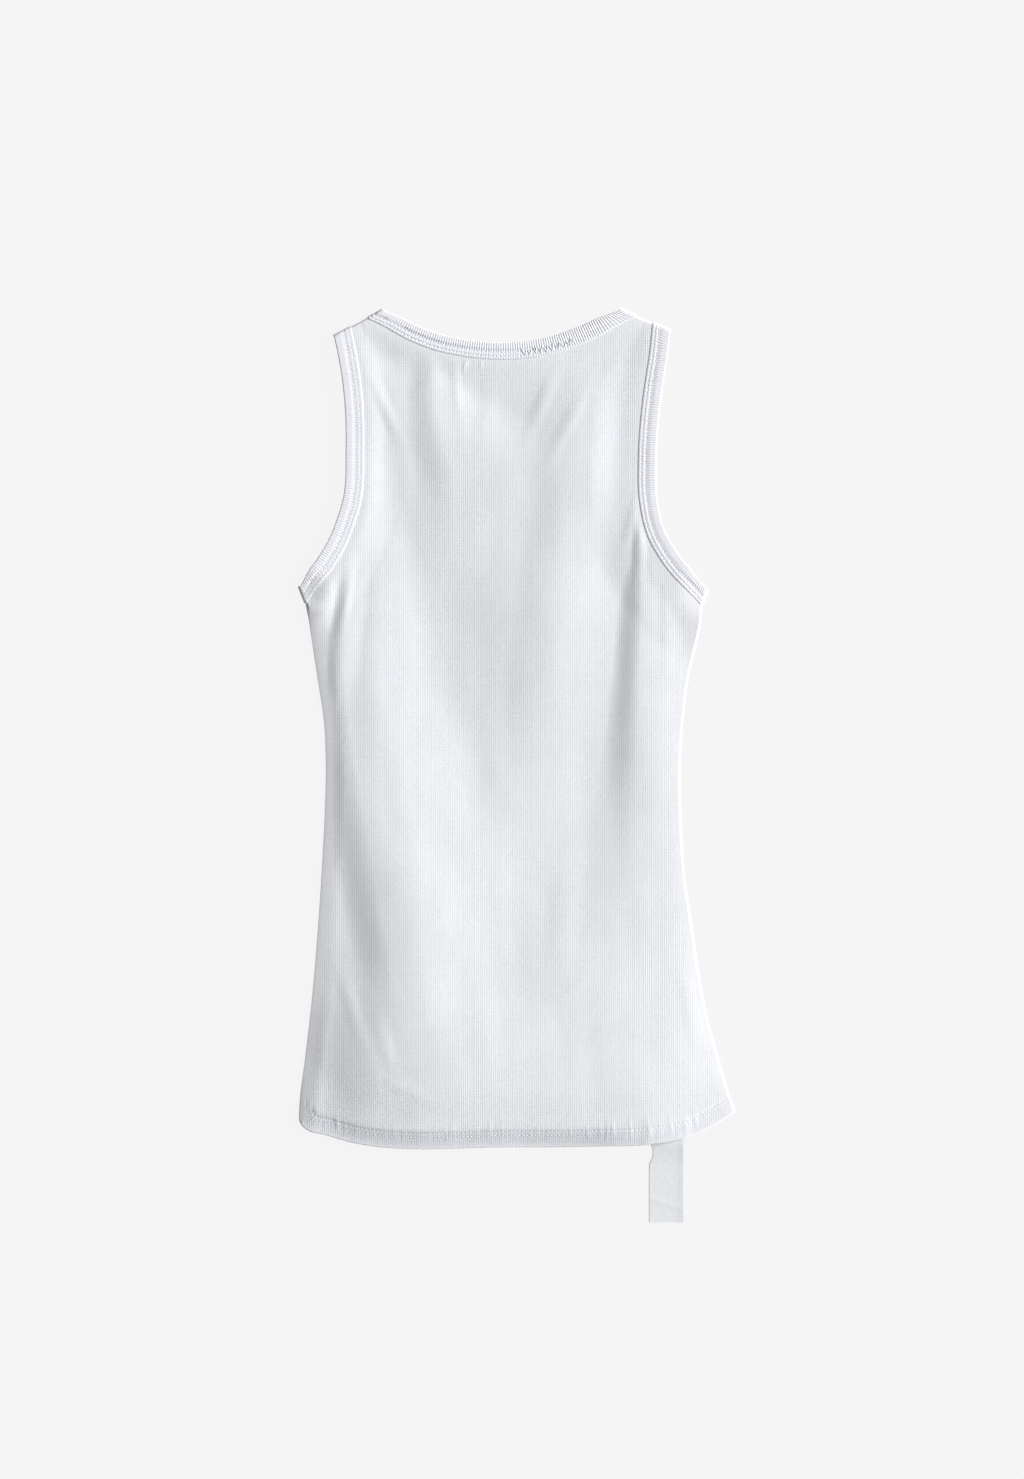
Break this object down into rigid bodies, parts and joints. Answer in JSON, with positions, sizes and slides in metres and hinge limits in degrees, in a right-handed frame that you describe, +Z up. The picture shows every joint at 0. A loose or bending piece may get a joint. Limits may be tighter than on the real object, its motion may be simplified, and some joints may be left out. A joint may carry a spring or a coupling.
{
  "type": "ribbed knit tank top laid flat",
  "caption": "Sleeveless fitted rib-knit top laid flat with its back up: bound neck and armholes, turned-up hem and a blank care label hanging below the hem.",
  "frame": {"origin": "centre of the underside of the whole object's box, on the surface that the garment lies on", "axes": "+X across the garment, +Y from the hem to the neck, +Z up out of the surface; the back of the garment faces +Z"},
  "size_m": [0.3274, 0.6847, 0.0098],
  "materials": {
    "rib_knit": "soft matt white cotton rib",
    "binding": "soft matt white cotton rib",
    "label": "smooth greyish white twill tape"
  },
  "bodies": {
    "root": {"back_panel": "rib_knit", "front_panel": "rib_knit", "neck_binding": "binding", "armhole_binding_left": "binding", "armhole_binding_right": "binding", "care_label": "label"}
  },
  "joints": []
}
